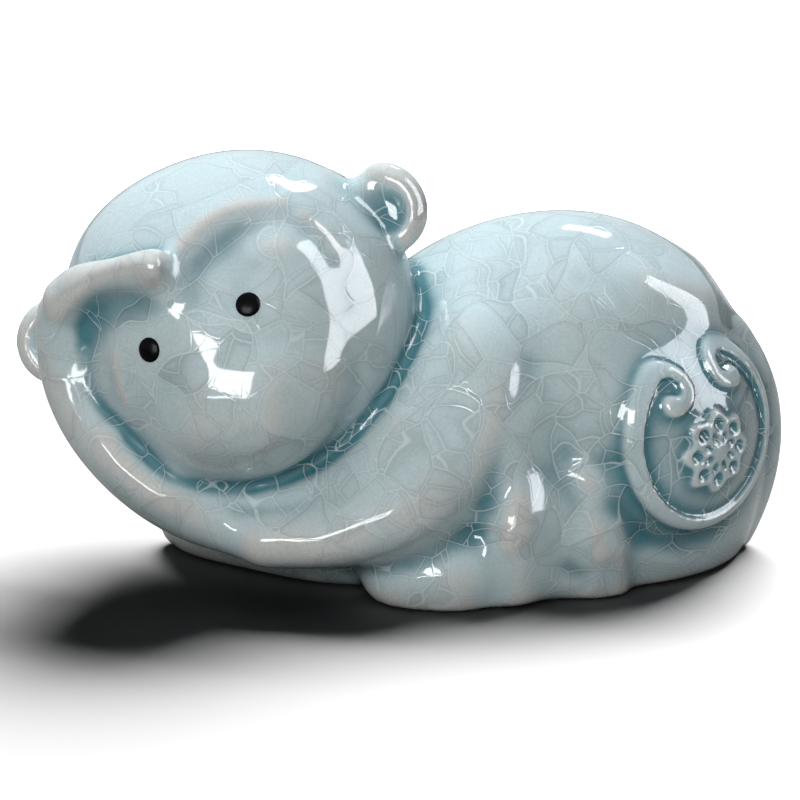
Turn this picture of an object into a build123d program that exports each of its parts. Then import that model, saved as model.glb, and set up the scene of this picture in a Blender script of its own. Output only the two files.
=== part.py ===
"""A glazed ceramic tea pet: a monkey lying on its belly, its head turned out to one side and one
long arm curled round its face to shade its eyes.

Each piece of clay is its own solid: a hollow torso and a hollow head, limbs, feet, ears and tail
luted to them, and a scroll and a lotus pressed on each haunch. A piece that is luted on is cut back
by what it sits on, so the two meet face to face.

Millimetres and degrees. X runs from the head (-) to the rump (+), the face looks towards -Y, and
the flat underside is the plane Z = 0.
"""

from build123d import *
from math import asin, cos, degrees, radians, sin
import os

# Overrun of every cutting tool past the face that it cuts
OVERRUN = 2.0

# Torso: an egg lying along X, cut flat underneath, with a vent through its floor
TORSO_X = 18.8
TORSO_Y = 1.0
TORSO_Z = 13.0
TORSO_CHEST_LENGTH = 29.3
TORSO_RUMP_LENGTH = 23.7
TORSO_HALF_WIDTH = 17.5
TORSO_RISE = 27.2
TORSO_WALL = 3.5
TORSO_FLOOR = 3.0
TORSO_STATION_SHARES = (-0.985, -0.9, -0.74, -0.5, -0.22, 0.0, 0.25, 0.5, 0.72, 0.88, 0.975)
TORSO_FULLNESS = 2.0
VENT_RADIUS = 3.0
VENT_SHARE = 0.1

# Head: a hollow ball over the chest, leaning to one side and looking out. Its back and its underside
# stay where the chest meets them, whatever its radius.
HEAD_BACK_X = 1.5
HEAD_Y = -6.0
HEAD_UNDERSIDE_Z = 10.1
HEAD_RADIUS = 19.5
HEAD_WIDTH_SHARE = 1.035
HEAD_HEIGHT_SHARE = 0.975
HEAD_WALL = 3.5
HEAD_LIFT = 18.0
HEAD_LEAN = 24.8
HEAD_TURN = 13.0
NECK_VENT_RADIUS = 2.5

# Face: a step behind the cap of the head, inside a heart-shaped brow line, with a soft muzzle. The
# outline's points are shares of the head's radius, from the dip between the brows to the chin.
FACE_STEP = 0.7
FACE_OUTLINE_SHARES = (
    (0.0, 0.37),
    (0.22, 0.525),
    (0.5, 0.52),
    (0.74, 0.36),
    (0.82, 0.08),
    (0.78, -0.26),
    (0.6, -0.6),
    (0.0, -0.8),
)
MUZZLE_HALF_WIDTH = 12.8
MUZZLE_HALF_HEIGHT = 10.5
MUZZLE_HALF_DEPTH = 10.2
MUZZLE_FORWARD = 9.0
MUZZLE_DROP = 7.0

# Eyes: dots of black enamel in round seats, following the curve of the face
EYE_RADIUS = 1.35
EYE_SPREAD = 6.15
EYE_RISE = 0.7
EYE_DEPTH = 0.45
EYE_PROUD = 0.15

# Ears: thick leaves with a cup pressed in the front
EAR_STANDOFF = 1.8
NEAR_EAR_ANGLE = 11.0
FAR_EAR_ANGLE = 18.0
EAR_FORWARD = 1.5
EAR_HALF_WIDTH = 4.7
EAR_HALF_HEIGHT = 4.9
EAR_HALF_THICKNESS = 2.4
EAR_RIM = 1.3
EAR_CUP_DEPTH = 1.5

# Raised arm: a tapering roll of clay that circles the face. Each station has an angle round the
# head and shares of the head's radius: how far out it is, how far forward, and its half width.
ARM_ANGLES = (368.0, 352.0, 336.0, 320.0, 303.0, 286.0, 268.0, 249.0, 229.0, 208.0, 191.0, 178.0)
ARM_OUT_SHARES = (1.42, 1.38, 1.345, 1.325, 1.262, 1.18, 1.12, 1.08, 1.05, 1.035, 1.02, 1.0)
ARM_FORWARD_SHARES = (-0.5, -0.12, 0.15, 0.3, 0.34, 0.33, 0.3, 0.27, 0.24, 0.24, 0.28, 0.35)
ARM_HALF_WIDTH_SHARES = (0.37, 0.4, 0.42, 0.412, 0.345, 0.27, 0.225, 0.193, 0.172, 0.158, 0.148, 0.142)
ARM_DEPTH_SHARE = 1.25

# Hand: the end of the raised arm, flattened across the brow. It is as large as the arm's end, so its
# sizes are shares of the head's radius too.
HAND_ACROSS_SHARES = (-0.96, -0.91, -0.79, -0.6, -0.4, -0.365)
HAND_UP_SHARES = (0.1, 0.15, 0.19, 0.225, 0.25, 0.252)
HAND_HALF_WIDTH_SHARE = 0.141
HAND_HALF_THICKNESS_SHARE = 0.108
HAND_SINK_SHARE = 0.015
HAND_TAPER_SHARES = (1.0, 1.0, 0.98, 0.96, 0.93, 0.76)

# Resting arm: a roll of clay that comes from under the chest and lies on the ground below the head.
# Its stations are shares of the head's radius, from the ground under the head's centre.
REST_ARM_PLACE_SHARES = (
    (1.27, 0.1, 0.36),
    (0.96, -0.2, 0.26),
    (0.6, -0.24, 0.215),
    (0.2, -0.1, 0.205),
    (-0.12, 0.11, 0.185),
    (-0.35, 0.36, 0.155),
)
REST_ARM_RADIUS_SHARES = (0.3, 0.26, 0.225, 0.205, 0.19, 0.165)

# Hind legs: the folded shin and calf stand against the flank, and the foot lies forward of them.
# Places on the torso are shares of its lengths, its half width and its rise, from its axis.
SHIN_PLACE_SHARES = (-0.202, 0.66, -0.22)
SHIN_HALF_SIZES = (5.6, 10.9, 15.5)
CALF_PLACE_SHARES = (0.07, 0.6, -0.22)
CALF_HALF_SIZES = (5.6, 8.9, 14.0)
FOOT_PLACE_SHARES = (-0.455, 0.94, -0.35)
FOOT_HALF_SIZES = (10.2, 6.3, 6.2)
FOOT_TURN = 8.0

# Haunches: round pads on the rump that carry the sprigs
HAUNCH_PLACE_SHARES = (0.5, 0.475, 0.12)
HAUNCH_RADIUS = 12.9
HAUNCH_HALF_THICKNESS = 8.2
HAUNCH_TURN = 44.0

# Scroll sprig: an open ring, its two ends curled inwards
SCROLL_RADIUS = 10.3
SCROLL_RISE = 1.9
SCROLL_FORWARD = 0.8
SCROLL_HALF_WIDTH = 0.85
SCROLL_RELIEF = 0.9
SCROLL_OPENING = 60.0
SCROLL_LEAN = 10.0
HOOK_RADIUS = 1.9
HOOK_SWEEP = 225.0
HOOK_TIP_RADIUS = 1.25

# Lotus sprig: the raised rims of pointed petals round a small boss
LOTUS_PETALS = 8
LOTUS_RADIUS = 5.0
LOTUS_FORWARD = 1.2
LOTUS_RISE = 0.5
LOTUS_PETAL_HALF_WIDTH = 1.65
LOTUS_RIM = 0.5
LOTUS_BOSS_RADIUS = 1.1
LOTUS_RELIEF = 0.7

# Tail: laid up the middle of the rump. Its stations are angles above the torso's axis.
TAIL_ANGLES = (-36.0, -20.0, -4.0, 12.0, 24.0, 33.0)
TAIL_HALF_WIDTH = 3.5
TAIL_HALF_THICKNESS = 1.9
TAIL_TAPER_SHARES = (0.4, 0.55, 0.8, 0.85, 0.66, 0.3)


def on_torso(along, out, up):
    """A place beside the torso's axis, from shares of its lengths, its half width and its rise."""
    length = TORSO_CHEST_LENGTH if along < 0 else TORSO_RUMP_LENGTH
    return Vector(
        TORSO_X + along * length,
        TORSO_Y - out * TORSO_HALF_WIDTH,
        TORSO_Z + up * TORSO_RISE,
    )


def on_the_far_side(shape):
    """The same piece mirrored to the other side of the torso."""
    return mirror(shape, about=Plane.XZ.offset(-TORSO_Y))


def above_ground(shape, height=0.0):
    """What of a shape lies above a height."""
    box = shape.bounding_box()
    size = OVERRUN + box.diagonal
    middle = box.center()
    block = Box(size, size, size, align=(Align.CENTER, Align.CENTER, Align.MIN))
    return shape & (Location((middle.X, middle.Y, height)) * block)


def ellipsoid(centre, half_sizes, turn=0.0):
    """An ellipsoid with its half sizes along X, Y and Z, turned about Z."""
    return Location(centre, (0, 0, turn)) * scale(Sphere(1), by=half_sizes)


def roll_of_clay(centres, sizes, middle):
    """A limb lofted through ellipses; the first of each pair of half sizes points at the middle."""
    sections = []
    for i, centre in enumerate(centres):
        before = centres[max(i - 1, 0)]
        after = centres[min(i + 1, len(centres) - 1)]
        plane = Plane(origin=centre, x_dir=centre - middle, z_dir=after - before)
        sections.append((plane * Ellipse(*sizes[i])).face())
    return loft(sections)


HEAD_CENTRE = Vector(HEAD_BACK_X - HEAD_RADIUS, HEAD_Y, HEAD_UNDERSIDE_Z + HEAD_RADIUS)
# X to the viewer's right, Y up the head and Z out of it, before it leans and turns
HEAD_UPRIGHT = Location(HEAD_CENTRE, (90 - HEAD_LIFT, 0, 0))
# X towards the head's left ear, Y to its crown and Z out of its face
HEAD_FRAME = HEAD_UPRIGHT * Location((0, 0, 0), (0, 0, HEAD_LEAN)) * Location((0, 0, 0), (0, -HEAD_TURN, 0))


def round_the_head(across, up, forward):
    """A place in the upright frame of the head."""
    return (HEAD_UPRIGHT * Location((across, up, forward))).position


def make_egg(chest_length, rump_length, half_width, rise):
    """An egg along the torso's axis: ellipses lofted from one tip to the other, each starting below."""
    sections = [Vertex(TORSO_X - chest_length, TORSO_Y, TORSO_Z)]
    for share in TORSO_STATION_SHARES:
        length = chest_length if share < 0 else rump_length
        size = (1 - abs(share) ** TORSO_FULLNESS) ** (1 / TORSO_FULLNESS)
        station = Plane(
            origin=(TORSO_X + share * length, TORSO_Y, TORSO_Z),
            x_dir=(0, 0, -1),
            z_dir=(1, 0, 0),
        )
        sections.append((station * Ellipse(rise * size, half_width * size)).face())
    sections.append(Vertex(TORSO_X + rump_length, TORSO_Y, TORSO_Z))
    return loft(sections)


def make_torso_outside():
    """The torso's outer form, filled."""
    egg = make_egg(TORSO_CHEST_LENGTH, TORSO_RUMP_LENGTH, TORSO_HALF_WIDTH, TORSO_RISE)
    return above_ground(egg)


def make_torso(outside, head_outside):
    """The hollow torso, open at the neck where the head closes it, with a vent in its floor."""
    inside = make_egg(
        TORSO_CHEST_LENGTH - TORSO_WALL,
        TORSO_RUMP_LENGTH - TORSO_WALL,
        TORSO_HALF_WIDTH - TORSO_WALL,
        TORSO_RISE - TORSO_WALL,
    )
    vent_place = on_torso(VENT_SHARE, 0, 0)
    vent = Location((vent_place.X, vent_place.Y, 0)) * Cylinder(VENT_RADIUS, 2 * (TORSO_FLOOR + OVERRUN))
    return outside - above_ground(inside, TORSO_FLOOR) - vent - head_outside


def make_head_ball(radius):
    """A ball, a little wider and lower than round, in the head's own frame."""
    return scale(Sphere(1), by=(radius * HEAD_WIDTH_SHARE, radius * HEAD_HEIGHT_SHARE, radius))


def make_head_outside():
    """The head's outer form, filled: a ball, the face set behind the brow line, and the muzzle."""
    right_side = [(HEAD_RADIUS * x, HEAD_RADIUS * y) for x, y in FACE_OUTLINE_SHARES]
    left_side = [(-x, y) for x, y in reversed(right_side)]
    outline = make_face([Spline(right_side), Spline(left_side)])
    step = extrude(outline, HEAD_RADIUS + OVERRUN) - make_head_ball(HEAD_RADIUS - FACE_STEP)
    muzzle = Location((0, -MUZZLE_DROP, MUZZLE_FORWARD)) * scale(
        Sphere(1), by=(MUZZLE_HALF_WIDTH, MUZZLE_HALF_HEIGHT, MUZZLE_HALF_DEPTH)
    )
    return HEAD_FRAME * (make_head_ball(HEAD_RADIUS) - step + muzzle)


def make_head(outside, eyes):
    """The hollow head with the seats of the eyes, and a vent from it into the torso."""
    inside = HEAD_FRAME * make_head_ball(HEAD_RADIUS - HEAD_WALL)
    towards_torso = on_torso(0, 0, 0) - HEAD_CENTRE
    vent = Plane(origin=HEAD_CENTRE, z_dir=towards_torso) * Cylinder(
        NECK_VENT_RADIUS, HEAD_RADIUS + OVERRUN, align=(Align.CENTER, Align.CENTER, Align.MIN)
    )
    head = outside - inside - vent
    for eye in eyes:
        head = head - eye
    return head


def make_eye(side):
    """A round dot of enamel as deep as its seat, standing just proud of the face."""
    face_radius = HEAD_RADIUS - FACE_STEP
    shell = make_head_ball(face_radius + EYE_PROUD) - make_head_ball(face_radius - EYE_DEPTH)
    rise = degrees(asin(EYE_RISE / face_radius))
    turn = degrees(asin(side * EYE_SPREAD / face_radius))
    pin = Location((0, 0, 0), (-rise, turn, 0)) * Cylinder(
        EYE_RADIUS, HEAD_RADIUS + OVERRUN, align=(Align.CENTER, Align.CENTER, Align.MIN)
    )
    return HEAD_FRAME * (pin & shell)


def make_ear(side, angle):
    """A leaf with a cup in its front, leaning out from the side of the head."""
    leaf = scale(Sphere(1), by=(EAR_HALF_WIDTH, EAR_HALF_HEIGHT, EAR_HALF_THICKNESS))
    cup = Location((0, 0, EAR_HALF_THICKNESS)) * scale(
        Sphere(1), by=(EAR_HALF_WIDTH - EAR_RIM, EAR_HALF_HEIGHT - EAR_RIM, EAR_CUP_DEPTH)
    )
    turn = radians(angle)
    reach = HEAD_RADIUS + EAR_STANDOFF
    place = (side * reach * cos(turn), reach * sin(turn), EAR_FORWARD)
    return HEAD_FRAME * Location(place, (0, 0, side * angle)) * (leaf - cup)


def make_raised_arm():
    """From the shoulder under the chin to the wrist, and the hand from there across the brow."""
    centres = []
    sizes = []
    for angle, out, forward, half_width in zip(
        ARM_ANGLES, ARM_OUT_SHARES, ARM_FORWARD_SHARES, ARM_HALF_WIDTH_SHARES
    ):
        turn = radians(angle)
        place = round_the_head(
            HEAD_RADIUS * out * cos(turn), HEAD_RADIUS * out * sin(turn), HEAD_RADIUS * forward
        )
        centres.append(place)
        sizes.append((HEAD_RADIUS * half_width, HEAD_RADIUS * half_width * ARM_DEPTH_SHARE))
    arm = roll_of_clay(centres, sizes, HEAD_CENTRE)
    half_width = HEAD_RADIUS * HAND_HALF_WIDTH_SHARE
    half_thickness = HEAD_RADIUS * HAND_HALF_THICKNESS_SHARE
    reach = HEAD_RADIUS * (1 - HAND_SINK_SHARE) + half_thickness
    places = []
    hand_sizes = []
    for across, up, taper in zip(HAND_ACROSS_SHARES, HAND_UP_SHARES, HAND_TAPER_SHARES):
        flat = Vector(HEAD_RADIUS * across, HEAD_RADIUS * up, 0)
        forward = max(reach**2 - flat.length**2, 0) ** 0.5
        places.append(round_the_head(flat.X, flat.Y, forward))
        hand_sizes.append((half_thickness * taper, half_width * taper))
    hand = roll_of_clay(places, hand_sizes, HEAD_CENTRE)
    wrist = Location(centres[-1]) * Sphere(sizes[-1][0]) + Location(places[0]) * Sphere(half_width)
    return arm + wrist + hand


def make_resting_arm():
    """A roll of clay on the ground, from under the chest to a rounded hand."""
    under_head = Vector(HEAD_CENTRE.X, HEAD_CENTRE.Y, 0)
    centres = [under_head + Vector(*place) * HEAD_RADIUS for place in REST_ARM_PLACE_SHARES]
    sizes = [(HEAD_RADIUS * share, HEAD_RADIUS * share) for share in REST_ARM_RADIUS_SHARES]
    arm = roll_of_clay(centres, sizes, HEAD_CENTRE)
    tip = Location(centres[-1]) * Sphere(sizes[-1][0])
    return above_ground(arm + tip)


def make_haunch_frame():
    """On the haunch: X to the rear, Y up and Z out of the flank."""
    return Location(on_torso(*HAUNCH_PLACE_SHARES), (0, 0, HAUNCH_TURN)) * Location((0, 0, 0), (90, 0, 0))


def make_haunch(relief=0.0):
    """The round pad, or the same pad thicker all over by a sprig's relief."""
    pad = scale(
        Sphere(1), by=(HAUNCH_RADIUS + relief, HAUNCH_RADIUS + relief, HAUNCH_HALF_THICKNESS + relief)
    )
    return make_haunch_frame() * pad


def press_on_haunch(outline, haunch, relief):
    """A sprig: its outline pushed out through the haunch, as thick as its relief."""
    stamp = make_haunch_frame() * extrude(outline, HAUNCH_HALF_THICKNESS + relief + OVERRUN)
    return (stamp & make_haunch(relief)) - haunch


def make_scroll_outline():
    """An open ring as wide as its band, with a curl and a round tip at both ends."""
    outline = Sketch()
    width = 2 * SCROLL_HALF_WIDTH
    opening_start = 90 - SCROLL_OPENING / 2
    ring = CenterArc((0, 0), SCROLL_RADIUS, opening_start, SCROLL_OPENING - 360)
    outline += trace(ring, width)
    hook_reach = SCROLL_RADIUS - HOOK_RADIUS
    for side in (1, -1):
        angle = 90 - side * SCROLL_OPENING / 2
        middle = Vector(hook_reach * cos(radians(angle)), hook_reach * sin(radians(angle)))
        hook = CenterArc(middle, HOOK_RADIUS, angle, side * HOOK_SWEEP)
        outline += trace(hook, width)
        outline += Location(hook @ 1) * Circle(HOOK_TIP_RADIUS)
    return Location((-SCROLL_FORWARD, SCROLL_RISE), SCROLL_LEAN) * outline


def make_petal_outline(length, half_width):
    """A petal pointed at both ends, from the flower's middle outwards along X."""
    start = (0, 0)
    end = (length, 0)
    side = ThreePointArc(start, (length / 2, half_width), end)
    other = ThreePointArc(end, (length / 2, -half_width), start)
    return make_face([side, other])


def make_lotus_outline():
    """Rims of petals round a boss."""
    outline = Sketch()
    petal = make_petal_outline(LOTUS_RADIUS, LOTUS_PETAL_HALF_WIDTH)
    hollow = Location((LOTUS_RIM, 0)) * make_petal_outline(
        LOTUS_RADIUS - 3 * LOTUS_RIM, LOTUS_PETAL_HALF_WIDTH - LOTUS_RIM
    )
    rim = petal - hollow
    for i in range(LOTUS_PETALS):
        outline += Rotation(0, 0, i * 360 / LOTUS_PETALS) * rim
    outline += Circle(LOTUS_BOSS_RADIUS)
    return Location((-LOTUS_FORWARD, LOTUS_RISE)) * outline


def make_leg():
    """Shin and calf of a folded leg, two upright ridges side by side."""
    shin = ellipsoid(on_torso(*SHIN_PLACE_SHARES), SHIN_HALF_SIZES)
    calf = ellipsoid(on_torso(*CALF_PLACE_SHARES), CALF_HALF_SIZES)
    return above_ground(shin + calf)


def make_foot():
    """A long foot, flat underneath."""
    return above_ground(ellipsoid(on_torso(*FOOT_PLACE_SHARES), FOOT_HALF_SIZES, FOOT_TURN))


def make_tail():
    """A tapering strip up the rump."""
    axis = on_torso(0, 0, 0)
    centres = []
    sizes = []
    for angle, taper in zip(TAIL_ANGLES, TAIL_TAPER_SHARES):
        turn = radians(angle)
        centres.append(axis + Vector(TORSO_RUMP_LENGTH * cos(turn), 0, TORSO_RISE * sin(turn)))
        sizes.append((TAIL_HALF_THICKNESS * taper, TAIL_HALF_WIDTH * taper))
    return above_ground(roll_of_clay(centres, sizes, axis))


def make_pieces():
    """Every piece, each cut back by the ones that it is luted to."""
    torso_outside = make_torso_outside()
    head_outside = make_head_outside()
    near_eye = make_eye(1)
    far_eye = make_eye(-1)
    raised_arm = make_raised_arm() - head_outside - torso_outside
    resting_arm = make_resting_arm() - head_outside - torso_outside - raised_arm

    pieces = {
        "torso": make_torso(torso_outside, head_outside),
        "head": make_head(head_outside, (near_eye, far_eye)),
        "near_eye": near_eye,
        "far_eye": far_eye,
        "near_ear": make_ear(1, NEAR_EAR_ANGLE) - head_outside - raised_arm,
        "far_ear": make_ear(-1, FAR_EAR_ANGLE) - head_outside - raised_arm,
        "raised_arm": raised_arm,
        "resting_arm": resting_arm,
    }

    pad = make_haunch()
    haunch = pad - torso_outside
    leg = make_leg() - torso_outside - pad
    foot = make_foot() - torso_outside - leg - pad
    scroll = press_on_haunch(make_scroll_outline(), pad, SCROLL_RELIEF) - torso_outside
    lotus = press_on_haunch(make_lotus_outline(), pad, LOTUS_RELIEF) - torso_outside
    pieces["near_leg"] = leg - raised_arm
    pieces["near_foot"] = foot - raised_arm - resting_arm
    pieces["near_haunch"] = haunch
    pieces["near_scroll"] = scroll
    pieces["near_lotus"] = lotus
    pieces["far_leg"] = on_the_far_side(leg) - head_outside
    pieces["far_foot"] = on_the_far_side(foot) - head_outside
    pieces["far_haunch"] = on_the_far_side(haunch)
    pieces["far_scroll"] = on_the_far_side(scroll)
    pieces["far_lotus"] = on_the_far_side(lotus)

    tail = make_tail() - torso_outside - pad
    pieces["tail"] = tail - on_the_far_side(pad)
    return pieces


os.makedirs("parts", exist_ok=True)
for name, piece in make_pieces().items():
    export_step(piece, f"parts/{name}.step")
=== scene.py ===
"""Looks of a crackle-glazed ceramic tea pet: a monkey lying on its belly, one long arm curled round
its face.

The clay pieces of the frame are joined under one closed coat of glaze, as in the kiln. Creases fill
with glaze, the face and the haunches are carved in that coat, and a mesh attribute keeps how thick
the glaze lies. Lengths are millimetres until a mesh is finished, which is in metres.
"""

import logging
import math
from dataclasses import dataclass, field
from enum import Enum

import bmesh
import bpy
import numpy as np
from mathutils import Matrix, Vector
from mathutils.bvhtree import BVHTree

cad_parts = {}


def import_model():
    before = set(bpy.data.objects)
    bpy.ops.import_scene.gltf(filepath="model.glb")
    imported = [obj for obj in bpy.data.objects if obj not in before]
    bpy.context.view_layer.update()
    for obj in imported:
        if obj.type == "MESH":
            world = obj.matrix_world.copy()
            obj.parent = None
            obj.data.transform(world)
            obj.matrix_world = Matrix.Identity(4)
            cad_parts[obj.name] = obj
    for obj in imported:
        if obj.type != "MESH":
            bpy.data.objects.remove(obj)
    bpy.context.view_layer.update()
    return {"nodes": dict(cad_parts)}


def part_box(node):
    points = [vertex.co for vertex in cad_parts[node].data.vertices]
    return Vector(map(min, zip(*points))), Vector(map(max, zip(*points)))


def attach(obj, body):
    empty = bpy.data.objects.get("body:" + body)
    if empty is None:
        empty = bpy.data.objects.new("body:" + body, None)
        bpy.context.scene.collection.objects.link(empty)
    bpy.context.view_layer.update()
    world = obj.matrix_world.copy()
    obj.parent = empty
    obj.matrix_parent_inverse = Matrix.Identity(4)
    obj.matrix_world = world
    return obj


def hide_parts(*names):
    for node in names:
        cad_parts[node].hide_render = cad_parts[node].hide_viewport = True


log = logging.getLogger("tea_pet")

MM = 0.001
# Y of the figurine's plane of symmetry, in millimetres
MIDDLE = 1.0
# Corners as close as this become one, in millimetres
TOUCHING = 1e-4
# A point that would follow its neighbours by less than this share stays where it is
STILL = 1e-3
EYE_NODES = ("near_eye", "far_eye")
WHITE = (1.0, 1.0, 1.0, 1.0)

Array = np.ndarray
Form = bmesh.types.BMesh
Material = bpy.types.Material
Object = bpy.types.Object
Socket = bpy.types.NodeSocket
Tree = bpy.types.NodeTree
Pair = tuple[float, float]
Place = tuple[float, float, float]


def linear(hex_colour: str) -> tuple[float, float, float, float]:
    """A shader colour from an sRGB hex value.

    Args:
        hex_colour: six hex digits, red first.

    Returns:
        Linear red, green, blue and an alpha of one.
    """
    channels = []
    for start in (0, 2, 4):
        value = int(hex_colour[start:start + 2], 16) / 255
        channels.append(value / 12.92 if value <= 0.04045 else ((value + 0.055) / 1.055) ** 2.4)
    return (*channels, 1.0)


def feed(tree: Tree, node: bpy.types.Node, inputs: dict) -> None:
    """Gives inputs of a node, by their names or numbers, each a value or a link from a socket."""
    for name, value in inputs.items():
        if isinstance(value, Socket):
            tree.links.new(value, node.inputs[name])
        else:
            node.inputs[name].default_value = value


def add_node(tree: Tree, kind: str, inputs: dict | None = None, **settings) -> bpy.types.Node:
    """Adds one node of a kind.

    Args:
        tree: the node tree that gets it.
        kind: what the node's type name says after "ShaderNode".
        inputs: a value or an output socket for each input, by its name or number.
        settings: the node's own properties.

    Returns:
        The new node.
    """
    node = tree.nodes.new("ShaderNode" + kind)
    for name, value in settings.items():
        setattr(node, name, value)
    feed(tree, node, inputs or {})
    return node


def maths(tree: Tree, operation: str, *values, clamp: bool = False) -> Socket:
    """The output of a maths node on up to three values or sockets."""
    inputs = dict(enumerate(values))
    return add_node(tree, "Math", inputs, operation=operation, use_clamp=clamp).outputs[0]


def centred(tree: Tree, value: Socket) -> Socket:
    """A random value from 0 to 1 as one from minus a half to a half."""
    return maths(tree, "SUBTRACT", value, 0.5)


def scaled(tree: Tree, vector: Socket, factor: float | Socket) -> Socket:
    """A vector or a colour times a number."""
    inputs = {0: vector, "Scale": factor}
    return add_node(tree, "VectorMath", inputs, operation="SCALE").outputs[0]


def noise(tree: Tree, place: Socket, size: float, detail: float) -> Socket:
    """A soft random pattern from 0 to 1, with blots of a size and so many finer layers."""
    inputs = {"Vector": place, "Scale": 1 / size, "Detail": detail}
    return add_node(tree, "TexNoise", inputs).outputs["Fac"]


def mixed_colour(tree: Tree, share: Socket, first: Socket | tuple, second: Socket | tuple) -> Socket:
    """A first colour that turns into a second one where a share goes from 0 to 1."""
    return add_node(tree, "Mix", {0: share, 6: first, 7: second}, data_type="RGBA").outputs[2]


def ramp(tree: Tree, value: Socket, *ends: tuple[float, str]) -> bpy.types.Node:
    """A ramp on a value, whose two ends are each a place from 0 to 1 and a hex colour."""
    made = add_node(tree, "ValToRGB", {"Fac": value})
    for stop, (at, colour) in zip(made.color_ramp.elements, ends):
        stop.position, stop.color = at, linear(colour)
    return made


def principled(name: str) -> tuple[Material, Tree, bpy.types.Node]:
    """A new material, its nodes and its shader."""
    material = bpy.data.materials.new(name)
    material.use_nodes = True
    return material, material.node_tree, material.node_tree.nodes["Principled BSDF"]


def object_of(name: str, form: Form) -> Object:
    """A form as a new object in the scene, which frees the form."""
    mesh = bpy.data.meshes.new(name)
    form.to_mesh(mesh)
    form.free()
    made = bpy.data.objects.new(name, mesh)
    bpy.context.scene.collection.objects.link(made)
    return made


def sheet(name: str, place: Place, size: Pair, material: Material) -> Object:
    """A flat level sheet round a place, in millimetres until it is finished."""
    form = bmesh.new()
    bmesh.ops.create_grid(form, x_segments=1, y_segments=1, size=MM / 2)
    bmesh.ops.scale(form, vec=(*size, 1), verts=form.verts)
    bmesh.ops.translate(form, vec=Vector(place) * MM, verts=form.verts)
    made = object_of(name, form)
    made.data.materials.append(material)
    return made


def across(places: Array) -> Array:
    """The same places on the figurine's other side, in millimetres."""
    return places * (1, -1, 1) + (0, 2 * MIDDLE, 0)


def fall_off(distance: Array, width: float) -> Array:
    """A bell of height one that fades over a width."""
    return np.exp(-((distance / width) ** 2))


def soft_step(value: Array, low: float, high: float) -> Array:
    """Zero below the low end, one above the high end, and smooth between."""
    share = np.clip((value - low) / (high - low), 0, 1)
    return share * share * (3 - 2 * share)


def neighbour_mean(values: Array, edges: Array) -> Array:
    """For each point, the mean of its neighbours' values.

    Args:
        values: one number or one row for each point.
        edges: the two points of each edge.

    Returns:
        The means, in the same shape.
    """
    first, second = edges.T
    degree = np.maximum(np.bincount(edges.ravel(), minlength=len(values)), 1)
    columns = values.reshape(len(values), -1)
    result = np.empty_like(columns)
    for i in range(columns.shape[1]):
        total = np.bincount(first, columns[second, i], len(values))
        total += np.bincount(second, columns[first, i], len(values))
        result[:, i] = total / degree
    return result.reshape(values.shape)


def distance_to_line(points: Array, line: Array) -> Array:
    """How far each point is from a line through places in turn."""
    nearest = np.full(len(points), np.inf)
    for start, end in zip(line, line[1:]):
        along = end - start
        share = np.clip((points - start) @ along / (along @ along), 0, 1)
        nearest = np.minimum(nearest, np.linalg.norm(points - start - share[:, None] * along, axis=1))
    return nearest


def rows(items: bpy.types.bpy_prop_collection, name: str, width: int, kind: type = float) -> Array:
    """One of the values of each item, as a row of so many numbers."""
    found = np.empty(width * len(items), kind)
    items.foreach_get(name, found)
    return found.reshape(-1, width)


class Surface:
    """A mesh as arrays: its points, the edges between them, and the moves that shape it."""

    def __init__(self, mesh: bpy.types.Mesh) -> None:
        """Reads a mesh's points and edges."""
        self.mesh = mesh
        self.points = rows(mesh.vertices, "co", 3)
        self.edges = rows(mesh.edges, "vertices", 2, np.int64)

    def write(self) -> None:
        """Puts the points back into the mesh."""
        self.mesh.vertices.foreach_set("co", self.points.ravel())
        self.mesh.update()

    def normals(self) -> Array:
        """The outward direction at each point."""
        self.write()
        return rows(self.mesh.vertex_normals, "vector", 3)

    def smooth(self, rounds: int, weight: Array | float = 1.0) -> None:
        """Relaxes the points towards their neighbours.

        Args:
            rounds: how many times.
            weight: how far each point follows, from 0 to 1.
        """
        share = np.broadcast_to(np.asarray(weight, float) / 2, (len(self.points),))
        moving = share > STILL
        near = np.flatnonzero(moving[self.edges].any(axis=1))
        involved = np.unique(self.edges[near])
        place = np.full(len(self.points), -1)
        place[involved] = np.arange(len(involved))
        local_edges = place[self.edges[near]]
        points, share = self.points[involved], (share * moving)[involved, None]
        for _ in range(rounds):
            points += share * (neighbour_mean(points, local_edges) - points)
        self.points[involved] = points

    def push(self, depth: Array) -> None:
        """Moves each point along its normal by a length."""
        self.points += self.normals() * depth[:, None]

    def spread(self, values: Array, rounds: int) -> Array:
        """One number for each point, averaged with its neighbours a number of times."""
        for _ in range(rounds):
            values = (values + neighbour_mean(values, self.edges)) / 2
        return values


@dataclass
class Head:
    """Where the head is and how it leans, so that the face is carved in its own frame."""

    centre: Place = (-18.0, -6.0, 29.6)
    radius: float = 19.5
    lift: float = 18.0
    lean: float = 24.8
    turn: float = 13.0

    def frame(self) -> Matrix:
        """X towards the head's left ear, Y to its crown and Z out of its face."""
        lift = Matrix.Rotation(math.radians(90 - self.lift), 3, "X")
        lean = Matrix.Rotation(math.radians(self.lean), 3, "Z")
        turn = Matrix.Rotation(math.radians(-self.turn), 3, "Y")
        return lift @ lean @ turn

    def local(self, points: Array) -> Array:
        """Points of the figurine as shares of the head's radius, in the head's own frame."""
        return (points - np.array(self.centre)) @ np.array(self.frame()) / self.radius


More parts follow.
